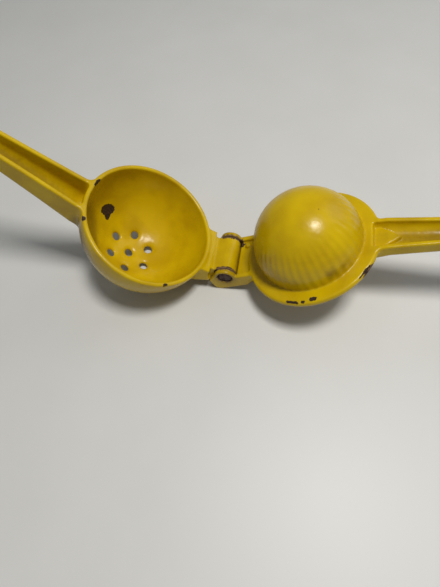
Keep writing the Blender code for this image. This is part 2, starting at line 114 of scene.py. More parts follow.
FLANGE_RADIUS = 35.0
FLANGE_THICKNESS = 3.4
FLANGE_ROUND = 1.3
DOME_RADIUS = 27.7
DOME_CENTRE_RISE = 3.2
DOME_WALL = 2.5
ARM_DROP = 9.6
ARM_TOP_DROP = 0.3
ARM_RUN_IN = 2.2                    # how far the arms run in under the flange
ARM_TAPER = 8.5
ARM_END_DROP = 0.8
HEEL_REACH = 10.0
HEEL_ROUND = 3.8
HEEL_EDGE = 0.9
WEB_TOP_DROP = 2.6
WEB_THICKNESS = 4.6
WEB_BOSS_PLACE = (10.6, 8.0)
WEB_BOSS_RADIUS = 1.6
WEB_BOSS_HEIGHT = 1.7
NECK_START = 7.4

HANDLE_END = 152.0
HANDLE_ROOT = 38.0
HANDLE_ROOT_WIDTH = 18.2
HANDLE_WAIST = 100.0
HANDLE_WAIST_WIDTH = 11.8
HANDLE_PALM_WIDTH = 15.6
HANDLE_SLOPE = 0.208
HANDLE_STRAIGHT = 45.0
HANDLE_EASE = 90.0
HANDLE_EDGE_DROP = 0.3
HANDLE_WALL = 2.3
HANDLE_FLOOR = 2.5
HANDLE_CORNER = 3.0
BOWL_HANDLE_ROOT_DEPTH = 17.3
BOWL_HANDLE_END_DEPTH = 9.4
DOME_HANDLE_DEPTH = 8.4
DOME_CHANNEL_START = 31.4

EAR_INNER = KNUCKLE_HALF + RUNNING_GAP
EAR_OUTER = EAR_INNER + EAR_THICKNESS
BORE_RADIUS = PIN_RADIUS + RUNNING_GAP
BORE_EDGE = 0.3
BOWL_TURN = math.pi - open_angle

# %% [markdown]
# ## Shapes as distances
#
# A casting has a soft fillet wherever two forms meet, and its enamel rounds every edge.  Boolean and
# Bevel modifiers could make it, but a bevel along the line where a handle runs into a round bowl
# breaks easily.  So each form here is a formula that gives the distance to its surface, less than zero
# inside the metal.  Two such numbers join with a fillet, or cut with a rounded edge, by one short
# formula, and the same code works on a whole grid of points or on a list of them.

# %% Joining and cutting
def merge(a, b, fillet):
    """Both forms together, with a fillet where they meet."""
    near = np.maximum(fillet - np.abs(a - b), 0) / fillet
    return np.minimum(a, b) - near * near * fillet / 4


def keep(a, b, edge):
    """Only what is in both forms, with a rounded edge."""
    return -merge(-a, -b, edge)


def cut(a, b, edge):
    """The first form without the second, with a rounded edge."""
    return -merge(-a, b, edge)


def rounded(side, height, radius):
    """A section from two distances that meet square on, with round corners."""
    a = side + radius
    b = height + radius
    return np.hypot(np.maximum(a, 0), np.maximum(b, 0)) + np.minimum(np.maximum(a, b), 0) - radius


def ease(value):
    """From 0 to 1 with no corner at either end."""
    value = np.clip(value, 0, 1)
    return value * value * (3 - 2 * value)


# %% Basic forms
def egg(x, y, z, across, deep):
    """A ball stretched to one radius across and another in height."""
    ring = x * x + y * y
    stretch = np.sqrt(ring / across ** 2 + z * z / deep ** 2)
    pull = np.sqrt(ring / across ** 4 + z * z / deep ** 4)
    return stretch * (stretch - 1) / np.maximum(pull, 1e-6)


def outline_distance(x, z, outline):
    """Distance to a closed outline drawn in the XZ plane."""
    nearest = np.inf
    inside = False
    for (ax, az), (bx, bz) in zip(outline, outline[1:] + outline[:1]):
        ex, ez = bx - ax, bz - az
        share = np.clip(((x - ax) * ex + (z - az) * ez) / (ex * ex + ez * ez), 0, 1)
        nearest = np.minimum(nearest, np.hypot(x - ax - ex * share, z - az - ez * share))
        if ez:
            spans = (az > z) != (bz > z)
            inside = inside ^ (spans & (x < ax + ex * (z - az) / ez))
    return np.where(inside, -nearest, nearest)


def plate(x, y, z, outline, half_width, edge):
    return keep(outline_distance(x, z, outline), np.abs(y) - half_width, edge)


def arc(radius, start, end, steps, centre=(0.0, 0.0)):
    """Points along an arc, angles in degrees, both ends included."""
    angles = [math.radians(start + (end - start) * i / steps) for i in range(steps + 1)]
    return [(centre[0] + radius * math.cos(a), centre[1] + radius * math.sin(a)) for a in angles]


# %% [markdown]
# ## From a formula to a mesh
#
# The formula is read on a grid.  Every grid cell that the surface passes through gets one vertex, at
# the mean of the places where the surface crosses the cell's edges, and every grid edge that it
# crosses gets one four-sided face.  That is the surface nets method, close to what Blender's Remesh
# modifier does with a voxel size, but it reads the exact formula.  The vertices are then evened out and
# drawn back onto the surface, so that a gloss runs over it with no ripple.

# %% Surface nets
CORNERS = np.array([(i, j, k) for i in (0, 1) for j in (0, 1) for k in (0, 1)])
CELL_EDGES = [(a, b) for a in range(8) for b in range(a + 1, 8)
              if np.abs(CORNERS[a] - CORNERS[b]).sum() == 1]


def skin(form, low, high, cell):
    """Vertices and four-sided faces of the surface of a form, within a box."""
    steps = [np.arange(a, b, cell) for a, b in zip(low, high)]
    grid = np.meshgrid(*steps, indexing="ij", sparse=True)
    value = form(*grid)
    inside = value < 0
    filled = sum(inside[i:i + value.shape[0] - 1, j:j + value.shape[1] - 1,
                        k:k + value.shape[2] - 1].astype(np.int8) for i, j, k in CORNERS)
    crossed = (filled > 0) & (filled < 8)
    cells = np.argwhere(crossed)
    number = np.full(crossed.shape, -1)
    number[crossed] = np.arange(len(cells))

    at = cells[:, None, :] + CORNERS
    ends = value[at[..., 0], at[..., 1], at[..., 2]]
    total = np.zeros(cells.shape)
    hits = np.zeros(len(cells))
    for a, b in CELL_EDGES:
        changes = (ends[:, a] < 0) != (ends[:, b] < 0)
        step = np.where(changes, ends[:, a] - ends[:, b], 1)
        share = ends[:, a] / step
        total += changes[:, None] * (CORNERS[a] + share[:, None] * (CORNERS[b] - CORNERS[a]))
        hits += changes
    points = np.array(low) + cell * (cells + total / hits[:, None])

    faces = []
    for axis in range(3):
        first = np.take(inside, range(inside.shape[axis] - 1), axis)
        second = np.take(inside, range(1, inside.shape[axis]), axis)
        edges = np.argwhere(first != second)
        leaving = first[tuple(edges.T)]
        around = []
        for u, w in ((0, 0), (-1, 0), (-1, -1), (0, -1)):
            offset = np.zeros(3, int)
            offset[(axis + 1) % 3] = u
            offset[(axis + 2) % 3] = w
            around.append(number[tuple((edges + offset).T)])
        quads = np.stack(around, 1)
        quads[~leaving] = quads[~leaving][:, ::-1]
        faces.append(quads)
    return points, np.concatenate(faces)


# %% Drawing the vertices onto the surface
def slope(form, points, reach):
    """Direction in which the form grows fastest, and how much its surface bends outward."""
    ahead, behind = [], []
    for axis in range(3):
        step = np.zeros(3)
        step[axis] = reach
        ahead.append(form(*(points + step).T))
        behind.append(form(*(points - step).T))
    gradient = np.stack([(a - b) / (2 * reach) for a, b in zip(ahead, behind)], 1)
    bend = (sum(ahead) + sum(behind) - 6 * form(*points.T)) / reach ** 2
    return gradient, bend


def settle(form, points, faces, rounds):
    """Evens out the vertices, then moves them back onto the surface."""
    pairs = np.concatenate([faces[:, [i, (i + 1) % 4]] for i in range(4)])
    count = np.bincount(pairs[:, 0], minlength=len(points))
    for _ in range(rounds):
        mean = [np.bincount(pairs[:, 0], points[pairs[:, 1], axis], len(points)) / count
                for axis in range(3)]
        points = points + 0.5 * (np.stack(mean, 1) - points)
        for _ in range(2):
            gradient, _ = slope(form, points, 0.05)
            length = np.maximum((gradient ** 2).sum(1), 0.2)
            points = points - gradient * (form(*points.T) / length)[:, None]
    return points


# %% [markdown]
# ## The handles
#
# Each handle is a channel, open on the side that meets the other half: deep walls make it stiff for
# little metal.  It narrows to a waist, widens again where the palm presses, and ends round.  A loft
# through sections would do as well.  Here the width, the rise and the depth are functions of the
# distance along it, and the channel is the same form drawn in by the thickness of the wall.

# %% Handle formulas
CHANNEL_ROUNDNESS = 0.88            # of the most that the channel's bottom corners have room for
CHANNEL_EDGE = 0.8
CHANNEL_END_ROUND = 1.6
HANDLE_TOP_ROUND = 0.7
WIDTH_POWER = 1.25                  # how quickly a handle narrows to its waist
DEPTH_POWER = 1.2
BOWL_HANDLE_START = 30.0            # from the middle of the bowl; the handle's root is inside its wall
BOWL_CHANNEL_START = 28.0
DOME_HANDLE_START = 29.0


def handle_width(along):
    tail = np.clip((HANDLE_WAIST - along) / (HANDLE_WAIST - HANDLE_ROOT), 0, None)
    palm = ease((along - HANDLE_WAIST) / (HANDLE_END - HANDLE_WAIST))
    width = HANDLE_WAIST_WIDTH + (HANDLE_ROOT_WIDTH - HANDLE_WAIST_WIDTH) * tail ** WIDTH_POWER
    return width + (HANDLE_PALM_WIDTH - HANDLE_WAIST_WIDTH) * palm


def handle_rise(along):
    run = np.maximum(along - HANDLE_ROOT, 0)
    bend = np.maximum(run - HANDLE_STRAIGHT, 0)
    return HANDLE_SLOPE * (run - bend * bend / (2 * HANDLE_EASE))


def bowl_handle_depth(along):
    share = np.clip((HANDLE_WAIST - along) / (HANDLE_WAIST - HANDLE_ROOT), 0, None)
    extra = BOWL_HANDLE_ROOT_DEPTH - BOWL_HANDLE_END_DEPTH
    return BOWL_HANDLE_END_DEPTH + extra * share ** DEPTH_POWER


def dome_handle_depth(along):
    return DOME_HANDLE_DEPTH


def handle_plan(along, y):
    """Distance to the handle's outline seen from above, with its round end."""
    palm = HANDLE_PALM_WIDTH / 2
    middle = HANDLE_END - palm
    end = np.hypot(along - middle, y) - palm
    return np.where(along > middle, end, np.abs(y) - handle_width(along) / 2)


def handle_outside(x, y, z, start, depth_at, side):
    along = x - CENTRE
    depth = depth_at(along)
    top = side * handle_rise(along) - PIN_RISE - HANDLE_EDGE_DROP
    above = z - top + depth / 2
    plan = handle_plan(along, y)
    lower = rounded(plan, -above - depth / 2, HANDLE_CORNER)
    upper = rounded(plan, above - depth / 2, HANDLE_TOP_ROUND)
    return np.maximum(np.where(above < 0, lower, upper), start - along)


def handle_channel(x, y, z, start, depth_at, side):
    along = x - CENTRE
    top = side * handle_rise(along) - PIN_RISE - HANDLE_EDGE_DROP
    deep = depth_at(along) - HANDLE_FLOOR
    half = handle_width(along) / 2 - HANDLE_WALL
    hollow = rounded(handle_plan(along, y) + HANDLE_WALL, top - deep - z,
                     CHANNEL_ROUNDNESS * np.minimum(half, deep))
    return keep(hollow, start - along, CHANNEL_END_ROUND)


for name, depth_at in (("bowl", bowl_handle_depth), ("dome", dome_handle_depth)):
    print(name, "handle,", round(float(handle_width(HANDLE_ROOT)), 1), "mm wide and",
          round(float(depth_at(HANDLE_ROOT)), 1), "mm deep at its root,",
          round(float(handle_width(HANDLE_WAIST)), 1), "mm wide at its waist")


# %% [markdown]
# ## The strainer bowl
#
# The bowl holds half a lemon, cut side up.  Seven holes in its floor let the juice out; the enamel
# pools round each one, so they sit in shallow dimples with soft lips.  At the pin side a lug carries
# the knuckle.  Its end is hollow, so that the ears of the other half can turn in it, and its lower
# corner is the stop that lands on the ears' heels when the press is wide open.

# %% Outlines of the lug and the knuckle
def across(point):
    """From one half's hinge frame to the other's, when open; the same both ways."""
    x, z = point
    return (-x * math.cos(BOWL_TURN) + z * math.sin(BOWL_TURN),
            x * math.sin(BOWL_TURN) + z * math.cos(BOWL_TURN))


def lug_outline():
    landing = RUNNING_GAP
    tip_x = -math.sqrt(SHOULDER_RADIUS ** 2 - landing ** 2)
    tip = across((tip_x, landing))
    foot = across((tip_x - STOP_FOOT, landing))
    top = -PIN_RISE - LUG_TOP_DROP
    inside = CENTRE - BOWL_MOUTH_RADIUS + LUG_RUN_IN
    points = arc(SHOULDER_RADIUS, math.degrees(math.asin(top / SHOULDER_RADIUS)),
                 math.degrees(math.atan2(tip[1], tip[0])), 24)
    points += [foot, (inside - LUG_GUSSET_SLANT, -LUG_GUSSET_DROP)]
    return points + [(inside, -LUG_GUSSET_DROP), (inside, top)]


def knuckle_outline():
    neck = SHOULDER_RADIUS + NECK_OVERLAP
    top = -PIN_RISE - LUG_TOP_DROP
    points = [(neck, top), (NECK_START, top)] + arc(KNUCKLE_RADIUS, *BARREL_ARC, 48)
    return points + [(neck * NECK_FOOT[0], neck * NECK_FOOT[1]), (neck, -neck)]


LUG = lug_outline()
KNUCKLE = knuckle_outline()
print("lug and knuckle outlines of", len(LUG), "and", len(KNUCKLE), "points")

# %% The bowl half's form
RIM_ROUND = 1.1
MOUTH_ROUND = 1.2
BOWL_HANDLE_FILLET = 2.6
LUG_EDGE = 0.8
LUG_FILLET = 1.0
KNUCKLE_EDGE = 0.7
KNUCKLE_FILLET = 0.6
DIMPLE_DEPTH = 0.55
DIMPLE_REACH = 1.5
HOLE_LIP = 1.3
DRILL_TOP = -20.0                   # the drill starts inside the bowl and cuts down only
DRILL_EDGE = 1.0
FIRST_HOLE = 30                     # degrees from the handle
HOLE_PLACES = [(0.0, 0.0)] + arc(HOLE_RING_RADIUS, FIRST_HOLE, 360 - FIRST_HOLE, HOLES_IN_RING - 1)
print(len(HOLE_PLACES), "holes")


def bowl_form(x, y, z):
    up = z + PIN_RISE
    outside = egg(x - CENTRE, y, up + BOWL_BELLY_DROP, BOWL_RADIUS, BOWL_DEPTH - BOWL_BELLY_DROP)
    outside = keep(outside, up, RIM_ROUND)
    handle = handle_outside(x, y, z, BOWL_HANDLE_START, bowl_handle_depth, 1)
    channel = handle_channel(x, y, z, BOWL_CHANNEL_START, bowl_handle_depth, 1)
    handle = cut(handle, channel, CHANNEL_EDGE)
    above_meeting_face = up - handle_rise(x - CENTRE)
    metal = np.maximum(merge(outside, handle, BOWL_HANDLE_FILLET), above_meeting_face)
    metal = merge(metal, plate(x, y, z, LUG, EAR_OUTER, LUG_EDGE), LUG_FILLET)
    metal = merge(metal, plate(x, y, z, KNUCKLE, KNUCKLE_HALF, KNUCKLE_EDGE), KNUCKLE_FILLET)

    inside = egg(x - CENTRE, y, np.minimum(up, 0), BOWL_MOUTH_RADIUS, BOWL_INNER_DEPTH)
    metal = cut(metal, inside, MOUTH_ROUND)
    for hole_x, hole_y in HOLE_PLACES:
        drill = np.hypot(x - CENTRE - hole_x, y - hole_y) - HOLE_RADIUS
        dimple = DIMPLE_DEPTH * np.exp(-(np.maximum(drill, 0) / DIMPLE_REACH) ** 2)
        metal = cut(metal + dimple, keep(drill, up - DRILL_TOP, DRILL_EDGE), HOLE_LIP)
    bore = np.hypot(x, z) - BORE_RADIUS
    return cut(metal, bore, BORE_EDGE)


# %% [markdown]
# ## The pressing dome
#
# The dome pushes into the lemon and turns its skin inside out.  Fine flutes climb its lower half and
# grip the peel.  It is hollow behind, so that the wall is even and the metal cools evenly in the mould.
# Two arms reach from the flange to the pin, with a web between them that the knuckle turns against.

# %% Outlines of the arms and the web
ARM_END = CENTRE - math.sqrt(FLANGE_RADIUS ** 2 - EAR_OUTER ** 2) + ARM_RUN_IN
EAR_ARC_END = 140                   # degrees at which an ear's round meets its heel
WEB_ARC_END = -75
WEB_LOW_START = 0.55                # start of the web's underside, in radii of its hollow


def arm_outline():
    top = -PIN_RISE - ARM_TOP_DROP
    points = arc(EAR_RADIUS, math.degrees(math.asin(top / EAR_RADIUS)), EAR_ARC_END, 36)
    points += arc(HEEL_EDGE, 90, 180, 3, (HEEL_EDGE - HEEL_REACH, -HEEL_EDGE))
    points += arc(HEEL_ROUND, 180, 270, 10, (HEEL_ROUND - HEEL_REACH, HEEL_ROUND - ARM_DROP))
    points += [(ARM_END - ARM_TAPER, -ARM_DROP), (ARM_END, -FLANGE_THICKNESS - ARM_END_DROP)]
    return points + [(ARM_END, top)]


def web_outline():
    clear = KNUCKLE_RADIUS + 2 * RUNNING_GAP
    top = -PIN_RISE - WEB_TOP_DROP
    low = top - WEB_THICKNESS
    points = arc(clear, math.degrees(math.asin(top / clear)), WEB_ARC_END, 16)
    return points + [(clear * WEB_LOW_START, low), (ARM_END, low), (ARM_END, top)]


ARM = arm_outline()
WEB = web_outline()
print("the arms reach", round(ARM_END + HEEL_REACH, 1), "mm from heel to flange")

# %% The dome half's form
FLUTES = 43
FLUTE_DEPTH = 0.19
FLUTE_PHASE = math.radians(96)
FLUTE_TOP = 24.0
FLUTE_FADE = 7.0
TONGUE_START = 78.0
TONGUE_REACH = 13.5
TONGUE_HALF = 7.0
TONGUE_HEIGHT = 2.4
TONGUE_POINT = 1.7                  # power that draws its sides to a point
TONGUE_SIDE_SLOPE = 0.8
TONGUE_ROUND = 0.9
TONGUE_ROOT = 1.5                   # how far it reaches into the floor and into the end wall
TONGUE_FILLET = 0.5
DOME_FOOT_FILLET = 0.9
DOME_HANDLE_FILLET = 2.0
HOLLOW_EDGE = 0.9
ARM_EDGE = 0.6
WEB_EDGE = 0.5
WEB_FILLET = 1.0
BOSS_ROUND = 1.0
BOSS_FILLET = 0.8
ARMS_FILLET = 1.6
RECESS_FLOOR_ROUND = 0.3
RECESS_EDGE = 0.5


def tongue(x, y, z):
    """A low pointed plateau on the channel's floor, where the handle runs in under the flange."""
    share = np.clip((x - TONGUE_START) / TONGUE_REACH, 0, 1)
    outline = np.abs(y) - TONGUE_HALF * (1 - share ** TONGUE_POINT)
    floor = -PIN_RISE - HANDLE_EDGE_DROP - DOME_HANDLE_DEPTH + HANDLE_FLOOR
    floor = floor - handle_rise(x - CENTRE)
    body = keep(outline * TONGUE_SIDE_SLOPE, z - floor - TONGUE_HEIGHT, TONGUE_ROUND)
    return np.maximum(body, np.maximum(floor - TONGUE_ROOT - z, TONGUE_START - TONGUE_ROOT - x))


def dome_form(x, y, z):
    up = z + PIN_RISE
    out = np.hypot(x - CENTRE, y)
    turn = np.arctan2(y, x - CENTRE)
    ball = np.hypot(out, np.maximum(up - DOME_CENTRE_RISE, 0))
    fluted = 0.5 - 0.5 * np.cos(FLUTES * turn + FLUTE_PHASE)
    fluted = FLUTE_DEPTH * fluted * ease((FLUTE_TOP - up) / FLUTE_FADE)
    dome = np.maximum(ball - DOME_RADIUS + fluted, -up - FLANGE_THICKNESS)
    flange = rounded(out - FLANGE_RADIUS, np.abs(up + FLANGE_THICKNESS / 2) - FLANGE_THICKNESS / 2,
                     FLANGE_ROUND)
    handle = handle_outside(x, y, z, DOME_HANDLE_START, dome_handle_depth, -1)
    above_meeting_face = up + handle_rise(x - CENTRE)
    rim = np.maximum(merge(flange, handle, DOME_HANDLE_FILLET), above_meeting_face)
    metal = merge(dome, rim, DOME_FOOT_FILLET)

    ears = np.abs(np.abs(y) - (EAR_INNER + EAR_OUTER) / 2) - EAR_THICKNESS / 2
    arms = keep(outline_distance(x, z, ARM), ears, ARM_EDGE)
    web = plate(x, y, z, WEB, EAR_INNER + EAR_THICKNESS / 2, WEB_EDGE)
    boss_x, boss_y = WEB_BOSS_PLACE
    boss_top = WEB_BOSS_HEIGHT - PIN_RISE - WEB_TOP_DROP
    boss = keep(np.hypot(x - boss_x, y - boss_y) - WEB_BOSS_RADIUS, z - boss_top, BOSS_ROUND)
    boss = np.maximum(boss, boss_top - WEB_THICKNESS - z)
    hinge_end = merge(merge(arms, web, WEB_FILLET), boss, BOSS_FILLET)
    metal = merge(metal, hinge_end, ARMS_FILLET)

    hollow = ball - DOME_RADIUS + DOME_WALL
    metal = cut(metal, hollow, HOLLOW_EDGE)
    channel = handle_channel(x, y, z, DOME_CHANNEL_START, dome_handle_depth, -1)
    metal = cut(metal, channel, CHANNEL_EDGE)
    metal = merge(metal, tongue(x, y, z), TONGUE_FILLET)
    metal = cut(metal, np.hypot(x, z) - BORE_RADIUS, BORE_EDGE)
    recess = keep(np.hypot(x, z) - EAR_RECESS_RADIUS, EAR_OUTER - EAR_RECESS_DEPTH - np.abs(y),
                  RECESS_FLOOR_ROUND)
    return cut(metal, recess, RECESS_EDGE)


# %% [markdown]
# ## Wear
#
# Enamel fails where it is thin and where things knock: on sharp rims, and where metal turns on metal.
# A chip is a shallow pit with a crisp edge.  Painting chips in the material alone leaves them flat, so
# each vertex here stores how far it is from the nearest chip's edge.  The same number sinks the pit
# into the mesh and tells the material where the coat ends.

# %% Chips and bare places
# A spot is a place from the middle of the bowl or the dome, the direction it runs in, and half of its
# length and of its width, all in millimetres.
FAR_AWAY = 50.0
RAGGED = 0.4
RUBBED_RAGGED = 0.5
KNUCKLE_RUBBED_WIDTH = 1.2
KNUCKLE_RUBBED_REACH = 0.8
EAR_RUBBED_WIDTH = 0.7
EAR_RUBBED_REACH = 1.2
RECESS_RUBBED_REACH = 0.4
RECESS_RUBBED_DEPTH = 1.0


def wobble(x, y, z):
    """A smooth, irregular number about 1 mm to 3 mm across, between -1 and 1."""
    first = np.sin(2.7 * x + 1.3 * y + 0.4) + np.sin(2.1 * y - 2.9 * z + 1.1)
    second = np.sin(2.4 * z + 1.7 * x + 2.0) + np.sin(5.3 * x - 4.1 * y + 3.0)
    return (first + second + 0.7 * np.sin(6.1 * y + 5.2 * z)) / 4.7


def spot_distance(x, y, z, spots):
    """Distance in millimetres past the edge of the nearest spot."""
    nearest = np.full(np.shape(x), FAR_AWAY)
    for place, direction, long, short in spots:
        dx, dy, dz = x - CENTRE - place[0], y - place[1], z - place[2]
        length = math.sqrt(sum(d * d for d in direction))
        along = (dx * direction[0] + dy * direction[1] + dz * direction[2]) / length
        aside = np.sqrt(np.maximum(dx * dx + dy * dy + dz * dz - along * along, 0))
        share = np.hypot(along / long, aside / short)
        nearest = np.minimum(nearest, (share - 1) * short)
    return nearest + RAGGED * wobble(x, y, z)


def rim_spot(radius, degrees, height, long, short):
    """A spot that follows a round edge."""
    angle = math.radians(degrees)
    place = (radius * math.cos(angle), radius * math.sin(angle), height)
    return place, (-math.sin(angle), math.cos(angle), 0), long, short


BOWL_CHIPS = [
    ((20.8, -13.2, -24.2), (6.8, 6.3, 2.9), 5.0, 3.3),
    ((19.6, -11.2, -26.6), (-0.4, 0.8, -0.9), 2.8, 2.0),
    rim_spot(33.9, -16, -0.9, 3.0, 1.1),
    rim_spot(35.4, 23.3, -0.5, 1.3, 1.1),
    rim_spot(35.3, 116.5, -0.5, 1.2, 0.9),
]
DOME_CHIPS = [
    rim_spot(34.0, -101.5, -0.2, 3.9, 0.8),
    rim_spot(33.7, -92.0, -0.2, 1.1, 0.75),
    rim_spot(32.9, -83.5, -0.1, 1.9, 1.2),
    rim_spot(34.8, -36.0, -0.6, 4.4, 0.75),
    rim_spot(28.1, 13.0, 0.3, 3.4, 0.25),
    ((13.6, -1.9, 27.2), (1, 0, 0), 0.45, 0.45),
]
DOME_SCUFFS = [
    rim_spot(35.0, -34, -2.4, 4.5, 1.4),
    ((-42.6, 9.8, -2.85), (1, 0, 0), 2.8, 1.7),
]
CHIP_DEPTH = 0.3

# Painted shade: the first spot darkens the handle side of the bowl's inside, the second the handle's
# channel and underside. The third is painted shade together with real grime, on the knuckle's side that
# faces the web.
BOWL_STAINS_AND_SHADE = [
    ((24.0, 12.0, -16.0), (0, 1, 0), 20.0, 15.0),
    ((90.0, 0.0, -2.0), (1, 0, 0.2), 60.0, 6.5),
    ((-CENTRE - 4.4, 0.0, 3.7), (0, 1, 0), 12.0, 2.6),
]
# The first two are real juice stains on the dome. The third is painted shade along the handle's channel
# and underside. The last two darken the enamel round the ears.
DOME_STAINS_AND_SHADE = [
    ((14.0, -23.5, 5.5), (1, 0, 0.2), 3.2, 3.8),
    ((19.5, -19.5, 5.0), (1, 0.5, 0), 3.0, 1.6),
    ((70.0, 0.0, -14.0), (1, 0, -0.2), 45.0, 5.0),
    ((-CENTRE, EAR_OUTER - 2, 0.0), (0, 1, 0), 4.0, 7.5),
    ((-CENTRE, 2 - EAR_OUTER, 0.0), (0, 1, 0), 4.0, 7.5),
]


def bowl_wear(x, y, z):
    """Rubbed bare round the knuckle's ends."""
    end = np.abs(np.abs(y) - KNUCKLE_HALF) - KNUCKLE_RUBBED_WIDTH
    reach = np.hypot(x, z) - KNUCKLE_RADIUS - KNUCKLE_RUBBED_REACH
    return np.maximum(reach, end) + RUBBED_RAGGED * wobble(x, y, z)


def dome_wear(x, y, z):
    """Rubbed bare on the ears, and scuffed on the flange's edge and on the web."""
    out = np.hypot(x, z)
    inner_face = np.maximum(out - EAR_RADIUS - EAR_RUBBED_REACH,
                            np.abs(np.abs(y) - EAR_INNER) - EAR_RUBBED_WIDTH)
    recess = np.maximum(out - EAR_RECESS_RADIUS - RECESS_RUBBED_REACH,
                        EAR_OUTER - EAR_RECESS_DEPTH - RECESS_RUBBED_DEPTH - np.abs(y))
    ears = np.minimum(inner_face, recess) + RUBBED_RAGGED * wobble(x, y, z)
    return np.minimum(ears, spot_distance(x, y, z, DOME_SCUFFS))


# %% [markdown]
# ## Building a half
#
# The steps are the same for both castings: skin the form, settle it, sink the chips, store the numbers
# that the enamel needs, and carry the mesh to its place.

# %% Cast one half
CELL = 0.6
BENDING_REACH = 0.9
CHIP_EDGE = 0.5
SETTLE_ROUNDS = 2
EDGE_BEND = 2.0
CREASE_BEND = 1.5


def store(mesh, name, values):
    mesh.attributes.new(name, "FLOAT", "POINT").data.foreach_set("value", values.astype(np.float32))


def cast(name, form, low, high, chips, stains_and_shade, wear, place):
    """One enamelled casting, as a mesh object in the frame."""
    points, faces = skin(form, low, high, CELL)
    points = settle(form, points, faces, SETTLE_ROUNDS)
    gradient, bend = slope(form, points, BENDING_REACH)
    outward = gradient / np.linalg.norm(gradient, axis=1)[:, None]
    chip = spot_distance(*points.T, chips)
    bare = wear(*points.T)
    points = points - outward * (CHIP_DEPTH * ease(-chip / CHIP_EDGE))[:, None]

    mesh = bpy.data.meshes.new(name)
    mesh.from_pydata((points * MM).tolist(), [], faces.tolist())
    store(mesh, "chip", chip)
    store(mesh, "bare", bare)
    # Distance to the listed spots, which the enamel paints brown: real stains and painted shade.
    store(mesh, "stain_and_shade", spot_distance(*points.T, stains_and_shade))
    store(mesh, "edge", np.clip(bend / EDGE_BEND, 0, 1))
    store(mesh, "crease", np.clip(-bend / CREASE_BEND, 0, 1))
    mesh.transform(place)
    mesh.shade_smooth()
    mesh.update()
    half = bpy.data.objects.new(name, mesh)
    bpy.context.scene.collection.objects.link(half)
    print(name, len(points), "vertices", len(faces), "faces")
    return half


# %% Both halves
MARGIN = 2.0
half_length = CENTRE + HANDLE_END + MARGIN
bowl = cast("enamelled_bowl", bowl_form, (-12, -BOWL_RADIUS - MARGIN, -BOWL_DEPTH - MARGIN),
            (half_length, BOWL_RADIUS + MARGIN, 22), BOWL_CHIPS, BOWL_STAINS_AND_SHADE, bowl_wear,
            bowl_place)
dome = cast("enamelled_dome", dome_form, (-HEEL_REACH - MARGIN, -FLANGE_RADIUS - MARGIN, -30),
            (half_length, FLANGE_RADIUS + MARGIN, DOME_RADIUS + DOME_CENTRE_RISE + MARGIN),
            DOME_CHIPS, DOME_STAINS_AND_SHADE, dome_wear, dome_place)
for half, body, node in ((bowl, "bowl_half", "strainer_bowl_half"),
                         (dome, "dome_half", "pressing_dome_half")):
    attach(half, body)
    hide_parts(node)

# %% [markdown]
# ## The pin
#
# A plain steel rivet: pushed through, then its ends are hammered over inside the ears' recesses.
# The heads are low domes, a little uneven from the hammer.  It is one profile turned about Y.  A Screw
# modifier would turn it too, but each point is placed here, so that the dents can be put in at once.

# %% Turn the rivet
PIN_SEGMENTS = 64
HEAD_SEAT = EAR_OUTER - EAR_RECESS_DEPTH + RUNNING_GAP
HEAD_CROWN = 0.3
HAMMER_DENT = 0.05


def rivet_profile():
    """Radius and place along the axis, from the middle of one head to the other's."""
    end = HEAD_SEAT + PIN_HEAD_THICKNESS
    shares = (0.15, 0.35, 0.55, 0.75, 0.88)
    dome_over = [(PIN_HEAD_RADIUS * s, end - HEAD_CROWN * s * s) for s in shares]
    rim = [(PIN_HEAD_RADIUS * 0.97, end - HEAD_CROWN - 0.06), (PIN_HEAD_RADIUS, end - HEAD_CROWN - 0.16)]
    half = dome_over + rim + [(PIN_HEAD_RADIUS, HEAD_SEAT), (PIN_RADIUS, HEAD_SEAT), (PIN_RADIUS, 4.0)]
    return half + [(radius, -along) for radius, along in reversed(half)]


def make_rivet(name):
    profile = rivet_profile()
    end = HEAD_SEAT + PIN_HEAD_THICKNESS
    points = []
    for radius, along in profile:
        for i in range(PIN_SEGMENTS):
            angle = math.tau * i / PIN_SEGMENTS
            dent = HAMMER_DENT * math.sin(3 * angle + along) * radius / PIN_HEAD_RADIUS
            shorter = math.copysign(dent, along) if abs(along) > HEAD_SEAT else 0.0
            points.append((radius * math.cos(angle), along - shorter, radius * math.sin(angle)))
    faces = []
    for row in range(len(profile) - 1):
        for i in range(PIN_SEGMENTS):
            j = (i + 1) % PIN_SEGMENTS
            low, high = row * PIN_SEGMENTS, (row + 1) * PIN_SEGMENTS
            faces.append((low + i, low + j, high + j, high + i))
    last = len(points)
    points += [(0, end, 0), (0, -end, 0)]
    for i in range(PIN_SEGMENTS):
        j = (i + 1) % PIN_SEGMENTS
        faces.append((last, j, i))
        faces.append((last + 1, last - PIN_SEGMENTS + i, last - PIN_SEGMENTS + j))
    mesh = bpy.data.meshes.new(name)
    mesh.from_pydata([[c * MM for c in point] for point in points], [], faces)
    mesh.transform(dome_place)
    mesh.shade_smooth()
    mesh.update()
    thing = bpy.data.objects.new(name, mesh)
    bpy.context.scene.collection.objects.link(thing)
    return thing


rivet = make_rivet("rivet_pin")
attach(rivet, "dome_half")
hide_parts("hinge_pin")
print("rivet", round(2 * (HEAD_SEAT + PIN_HEAD_THICKNESS), 1), "mm long")

# %% [markdown]
# ## Writing materials as sums
#
# A material is maths on numbers that change over the surface.  Wiring Math nodes one by one hides the
# formula, so `Value` wraps a socket and lets Python write it: `1 - mask` or `bare + 0.2 * grain` adds
# the Math nodes itself.  Every other node comes from `Finish.node`.

